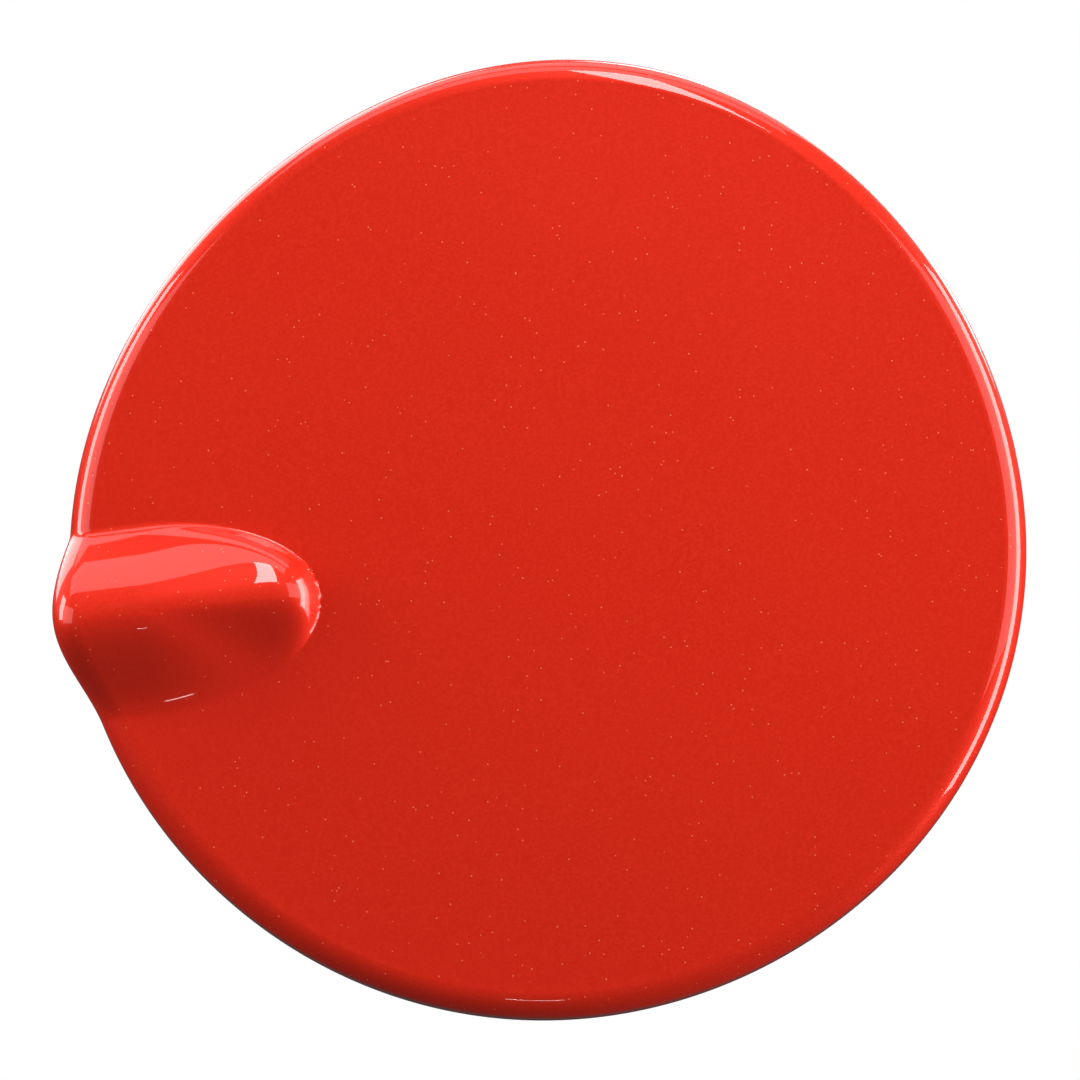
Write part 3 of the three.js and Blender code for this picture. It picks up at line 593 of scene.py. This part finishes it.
def drill(radius_mm, place, length_mm, sides=32):
    """A bar to cut a hole with, along Y."""
    bpy.ops.object.select_all(action="DESELECT")
    bpy.ops.mesh.primitive_cylinder_add(
        vertices=sides, radius=radius_mm * MM, depth=length_mm * MM, location=place,
        rotation=TURNED["Y"][0],
    )
    return bpy.context.object


# ---- rivets, buffers, screws -----------------------------------------------------------------------

RIVETS = ["arm_rivet_1", "arm_rivet_2", "arm_rivet_3", "arm_rivet_4",
          "striker_rivet_upper", "striker_rivet_lower", "holder_rivet_1", "holder_rivet_2"]
BUFFERS = ["bump_stop_1", "bump_stop_2", "bump_stop_3", "bump_stop_4"]


def foot_of(node, axis="Y"):
    """The middle of a CAD node's near end, and its length in mm."""
    low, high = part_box(node)
    place = (low + high) / 2
    along = "XYZ".index(axis)
    place[along] = low[along]
    return place, (high[along] - low[along]) / MM


def raised(profile, by):
    """A profile moved along its axis."""
    return [(radius, distance + by) for radius, distance in profile]


def rivet():
    """An upset tail, a shank, and a domed head with the dimple of the setting tool."""
    foot, length = foot_of(RIVETS[0])
    seat = length - RIVET_HEAD_H
    tail = [
        (0.5, 0.25), (0.9, 0.02), (2.1, 0), (2.65, 0.18), (RIVET_TAIL_R, 0.5), (2.65, 0.9),
        (RIVET_R, RIVET_TAIL_H), (RIVET_R, seat),
    ]
    head = [
        (2.8, 0), (RIVET_HEAD_R, 0.2), (2.95, 0.5), (2.6, 0.95), (2.0, 1.3), (1.2, 1.48),
        (0.8, RIVET_HEAD_H), (0.62, 1.36), (0.3, 1.3),
    ]
    return turned("rivet", tail + raised(head, seat), foot, 0.03, segments=40)


def buffer():
    """A rubber button with a barbed neck, two grip rings and a hollow tip."""
    foot, length = foot_of(BUFFERS[0])
    seat = length - BUFFER_HEAD_H
    neck = [
        (0.8, 0), (1.6, 0), (BUFFER_BARB_R, 1.35), (BUFFER_BARB_R, 1.5), (BUFFER_NECK_R, 1.5),
        (BUFFER_NECK_R, seat),
    ]
    button = [
        (5.7, 0), (BUFFER_HEAD_R, 0.3), (BUFFER_HEAD_R, 0.9), (5.6, 1.05), (5.6, 1.35),
        (BUFFER_HEAD_R, 1.5), (5.9, 2.0), (5.5, 3.0), (4.9, 3.8), (4.2, 4.5), (3.3, 4.9),
        (2.4, BUFFER_HEAD_H), (1.7, 4.9), (1.3, 4.1), (0.5, 3.8),
    ]
    return turned("buffer", neck + raised(button, seat), foot, 0.08)


def mount_screw():
    """An M5 screw with a hexagon socket. Its thread is a row of rings."""
    foot, length = foot_of("bracket_screw_upper")
    profile = [
        (0.6, 0), (3.6, 0), (4.35, 0.2), (SCREW_HEAD_R, 0.6), (SCREW_HEAD_R, 3.0), (4.4, SCREW_HEAD_H),
        (SCREW_R, SCREW_HEAD_H), (SCREW_R, SCREW_NECK),
    ]
    root = SCREW_NECK + SCREW_PITCH / 2
    while root < length - 1.2:
        profile += [(SCREW_CORE_R, root), (SCREW_R, root + SCREW_PITCH / 2)]
        root += SCREW_PITCH
    profile += [(SCREW_CORE_R, length - SCREW_PITCH), (1.6, length), (0.6, length)]
    screw = turned("mount_screw", profile, foot, 0.04)
    cut(screw, drill(SOCKET_R, foot, 2 * SOCKET_DEPTH, sides=6))
    return screw


def place_fasteners():
    for model, nodes in ((rivet(), RIVETS), (buffer(), BUFFERS)):
        stand_for(model, nodes[0])
        for node in nodes[1:]:
            repeated(model, f"{model.name}_{node}", nodes[0], node)
    screw = stand_for(mount_screw(), "bracket_screw_upper")
    repeated(screw, "mount_screw_lower", "bracket_screw_upper", "bracket_screw_lower")
    foot, thickness = foot_of("screw_washer_upper")
    ring = [
        (WASHER_IN, 0), (WASHER_OUT, 0), (WASHER_OUT, thickness), (WASHER_IN, thickness), (WASHER_IN, 0),
    ]
    washer = stand_for(turned("washer", ring, foot, 0.15), "screw_washer_upper")
    repeated(washer, "washer_lower", "screw_washer_upper", "screw_washer_lower")


# ---- pin, bushes, spring ---------------------------------------------------------------------------


def hinge_pin():
    """A round pin with a chamfered head, a groove for the clip and a pointed lead."""
    foot, length = foot_of("hinge_pin", "Z")
    groove_start, groove_end = CLIP_GROOVE
    seat = length - PIN_HEAD_T
    shank = [
        (1.2, 0), (2.4, 0), (PIN_R, PIN_BEVEL), (PIN_R, groove_start), (CLIP_GROOVE_R, groove_start),
        (CLIP_GROOVE_R, groove_end), (PIN_R, groove_end), (PIN_R, seat),
    ]
    head = [
        (4.7, 0), (PIN_HEAD_R, 0.3), (PIN_HEAD_R, 1.4), (4.4, PIN_HEAD_T), (1.0, PIN_HEAD_T),
        (0.7, 1.75), (0.3, 1.7),
    ]
    pin = turned("hinge_pin_turned", shank + raised(head, seat), foot, 0.06, "Z")
    return stand_for(pin, "hinge_pin")


def bush(node, name, downward):
    """A flanged bush. Its flange is at the top, or at the bottom where it points downward."""
    foot, length = foot_of(node, "Z")
    bore_r = PIN_R + GAP
    outer_r = bore_r + BUSH_WALL
    flange = length - BUSH_FLANGE_T
    profile = [
        (bore_r, 0), (outer_r, 0), (outer_r, flange), (BUSH_FLANGE_R, flange), (BUSH_FLANGE_R, length),
        (bore_r, length), (bore_r, 0),
    ]
    if downward:
        profile = [(radius, length - distance) for radius, distance in profile]
    return stand_for(turned(name, profile, foot, 0.2, "Z"), node)


def spring_rest_y():
    """Depth of the wire's middle where the spring's moving leg rests behind the arm's pad."""
    pad_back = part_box("arm_rivet_1")[1].y - (RIVET_HEAD_H + GAP) * MM
    return pad_back + (WIRE_R + GAP) * MM


def spring_route():
    """Points along the middle of the wire: the fixed leg, the coil, and the leg that moves."""
    low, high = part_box("torsion_spring")
    sweep = MOVING_LEG_AT + COIL_TURNS * 2 * math.pi - FIXED_LEG_AT
    height = COIL_PITCH * sweep / (2 * math.pi) * MM
    bottom_z = (low.z + high.z) / 2 - height / 2
    start_x = PIN_X - COIL_R * MM
    route = [(start_x, PIN_Y + reach * MM, bottom_z) for reach in (FIXED_LEG, 12, *reversed(LEG_STEPS))]
    for i in range(COIL_STEPS + 1):
        angle = FIXED_LEG_AT + sweep * i / COIL_STEPS
        route.append((
            PIN_X + COIL_R * math.cos(angle) * MM,
            PIN_Y + COIL_R * math.sin(angle) * MM,
            bottom_z + height * i / COIL_STEPS,
        ))
    tip_x, tip_y, tip_z = route[-1]
    length = (tip_y - spring_rest_y()) / -math.cos(MOVING_LEG_AT) / MM
    for reach in (*LEG_STEPS, length / 2, length):
        route.append((
            tip_x - math.sin(MOVING_LEG_AT) * reach * MM,
            tip_y + math.cos(MOVING_LEG_AT) * reach * MM,
            tip_z,
        ))
    return route, bottom_z, tip_z


def torsion_spring():
    """Wound wire with a straight leg at each end, which winds up as the flap opens."""
    route, bottom_z, top_z = spring_route()
    path = bpy.data.curves.new("spring_wire", "CURVE")
    path.dimensions = "3D"
    path.bevel_depth = WIRE_R * MM
    path.bevel_resolution = 5
    path.use_fill_caps = True
    line = path.splines.new("POLY")
    line.points.add(len(route) - 1)
    for point, place in zip(line.points, route):
        point.co = (*place, 1)
    spring = bpy.data.objects.new("spring_wire", path)
    bpy.context.scene.collection.objects.link(spring)
    hold(spring)
    bpy.ops.object.convert(target="MESH")
    spring = bpy.context.object
    bpy.ops.object.shade_smooth_by_angle(angle=math.radians(40))
    stand_for(spring, "torsion_spring")
    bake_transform(spring)


# ---- pressed panel and sheet parts -----------------------------------------------------------------


def inner_panel():
    """A disc with a raised rim and a bead, drilled for the rivets, buffers and drains."""
    back = (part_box("inner_panel")[1].y - FACE_Y) / MM
    plateau = back - PLATEAU_STEP
    bead = plateau - BEAD_DEPTH
    rim_r = FLAP_R - SKIN_T - PANEL_SIDE_GAP
    face = [
        (1, plateau), (BEAD_R - 6, plateau), (BEAD_R - 5, plateau - 0.12), (BEAD_R - 3.8, plateau - 0.7),
        (BEAD_R - 3, bead + 0.5), (BEAD_R - 2, bead), (BEAD_R + 2, bead), (BEAD_R + 3, bead + 0.5),
        (BEAD_R + 4, plateau - 0.7), (BEAD_R + 5.2, back - 0.3), (BEAD_R + 6.2, back - 0.05),
        (BEAD_R + 7, back), (rim_r - 0.3, back), (rim_r, back - 0.3),
    ]
    front = raised(reversed(face), -PANEL_T)
    foot = Vector((FLAP_X, FACE_Y, FLAP_Z))
    panel = turned("pressed_panel", face + front, foot, 0.02, segments=160)
    place = points_of(panel)
    x, z = (place[:, 0] - FLAP_X) / MM, (place[:, 2] - FLAP_Z) / MM
    angle = np.arctan2(z, x)
    outline = waved(np.hypot(x, z), angle)
    place[:, 0] = FLAP_X + outline * np.cos(angle) * MM
    place[:, 2] = FLAP_Z + outline * np.sin(angle) * MM
    panel.data.vertices.foreach_set("co", place.ravel())
    holes = [(middle(node), RIVET_R + GAP) for node in RIVETS]
    holes += [(middle(node), BUFFER_NECK_R + GAP) for node in BUFFERS]
    for turn in DRAIN_AT:
        holes.append((foot + Vector((math.cos(turn), 0, math.sin(turn))) * BEAD_R * MM, DRAIN_R))
    for centre, radius in holes:
        centre.y = FACE_Y + (plateau - PANEL_T) * MM
        cut(panel, drill(radius, centre, 12))
    return stand_for(panel, "inner_panel")


def damping_ring():
    """A foam ring with bevelled corners."""
    foot, length = foot_of("damping_ring")
    bevel, far = RING_BEVEL, length - RING_BEVEL
    ring = [
        (RING_IN, bevel), (RING_IN + 0.5, 0), (RING_OUT - 0.5, 0), (RING_OUT, bevel), (RING_OUT, far),
        (RING_OUT - 0.5, length), (RING_IN + 0.5, length), (RING_IN, far), (RING_IN, bevel),
    ]
    return stand_for(turned("foam_ring", ring, foot, 0.1, segments=96), "damping_ring")


SHEET_PARTS = {                                # each CAD node's finished name and the rounding of its edges
    "hinge_arm": ("pressed_arm", 0.35),
    "hinge_bracket": ("folded_bracket", 0.4),
    "lock_striker": ("striker_plate", 0.35),
    "cap_holder": ("cap_fork", 0.4),
    "pin_clip": ("spring_clip", 0.12),
    "open_stop": ("stop_block", 0.7),
}

stand_for(outer_skin(), "outer_skin")
inner_panel()
damping_ring()
for node, (name, width_mm) in SHEET_PARTS.items():
    stand_for(dressed(node, name, width_mm), node)
place_fasteners()
hinge_pin()
bush("pivot_bush_upper", "bush_upper", False)
bush("pivot_bush_lower", "bush_lower", True)
torsion_spring()

# ---- stage, light and camera -----------------------------------------------------------------------

FLOOR_BELOW = 2.5
LAMP_DISTANCE = 1.3
CAMERA_ELEVATION = math.radians(-7)
CAMERA_DISTANCE = 1.8
FRAME_WIDTH = 0.1866                           # width of the picture at the flap, in metres
SKY_GLOW = 0.05
AIM = Vector((FLAP_X - 0.0018, FACE_Y, FLAP_Z - 0.0006))


def plain_white(name, shade):
    """A dull white that is faintly uneven."""
    white = Finish(name, (shade, shade, shade), roughness=0.9)
    tone = white.noise(400, 2)
    return white.feed(base_color=white.mix(tone, (shade,) * 3, (shade * 0.97,) * 3)).material


def floor():
    """A white floor, far below and not seen in reflections."""
    bpy.ops.mesh.primitive_plane_add(size=8, location=(0, 0, skin_low.z - FLOOR_BELOW))
    plane = bpy.context.object
    plane.name = "studio_floor"
    plane.data.materials.append(plain_white("studio_white", 0.8))
    plane.visible_glossy = False


def softbox(name, azimuth, elevation, size, brightness):
    """A rectangular lamp facing the flap, placed by its direction from the flap, in degrees."""
    data = bpy.data.lights.new(name, "AREA")
    data.shape = "RECTANGLE"
    data.size, data.size_y = size
    data.energy = brightness * math.pi * size[0] * size[1]
    box = bpy.data.objects.new(name, data)
    bpy.context.scene.collection.objects.link(box)
    aside, up = math.radians(azimuth), math.radians(elevation)
    towards = Vector((math.sin(aside) * math.cos(up), -math.cos(aside) * math.cos(up), math.sin(up)))
    box.location = AIM + towards * LAMP_DISTANCE
    box.rotation_euler = towards.to_track_quat("Z", "Y").to_euler()


def studio():
    softbox("tall_lamp", 10.5, 46, (0.22, 0.70), 12)
    softbox("overhead_front", -10, 70, (1.5, 0.46), 1.7)
    softbox("overhead_rear", -10, 97, (1.5, 0.55), 1.7)
    softbox("left_panel", -78, 22, (0.4, 0.9), 9)
    softbox("right_panel", 80, 6, (0.5, 1.7), 9)
    softbox("left_fill", -50, 14, (0.9, 0.9), 1.7)
    softbox("right_fill", 50, 14, (0.9, 0.9), 1.7)
    softbox("low_glint", -1, -38, (0.12, 0.03), 15)
    softbox("rear_key", 145, 42, (0.9, 0.9), 7)
    softbox("rear_fill", -135, 42, (0.9, 0.9), 4)


def sky():
    """White to the camera and a dim, even grey to the object."""
    world = bpy.data.worlds.new("studio_air")
    world.use_nodes = True
    bpy.context.scene.world = world
    tree = world.node_tree
    lit = tree.nodes["Background"]
    lit.inputs["Color"].default_value = (1, 1, 1, 1)
    lit.inputs["Strength"].default_value = SKY_GLOW
    seen = tree.nodes.new("ShaderNodeBackground")
    seen.inputs["Color"].default_value = (1, 1, 1, 1)
    seen.inputs["Strength"].default_value = 1.0
    path = tree.nodes.new("ShaderNodeLightPath")
    choose = tree.nodes.new("ShaderNodeMixShader")
    tree.links.new(path.outputs["Is Camera Ray"], choose.inputs[0])
    tree.links.new(lit.outputs[0], choose.inputs[1])
    tree.links.new(seen.outputs[0], choose.inputs[2])
    tree.links.new(choose.outputs[0], tree.nodes["World Output"].inputs[0])


def camera():
    """A long lens, square to the flap and from slightly below."""
    data = bpy.data.cameras.new("studio_camera")
    data.sensor_width = 36
    data.lens = data.sensor_width * CAMERA_DISTANCE / FRAME_WIDTH
    data.clip_end = 20
    eye = bpy.data.objects.new("studio_camera", data)
    bpy.context.scene.collection.objects.link(eye)
    back = Vector((0, -math.cos(CAMERA_ELEVATION), math.sin(CAMERA_ELEVATION)))
    eye.location = AIM + back * CAMERA_DISTANCE
    eye.rotation_euler = (-back).to_track_quat("-Z", "Y").to_euler()
    bpy.context.scene.camera = eye


floor()
studio()
sky()
camera()
bpy.context.scene.view_settings.view_transform = "Standard"
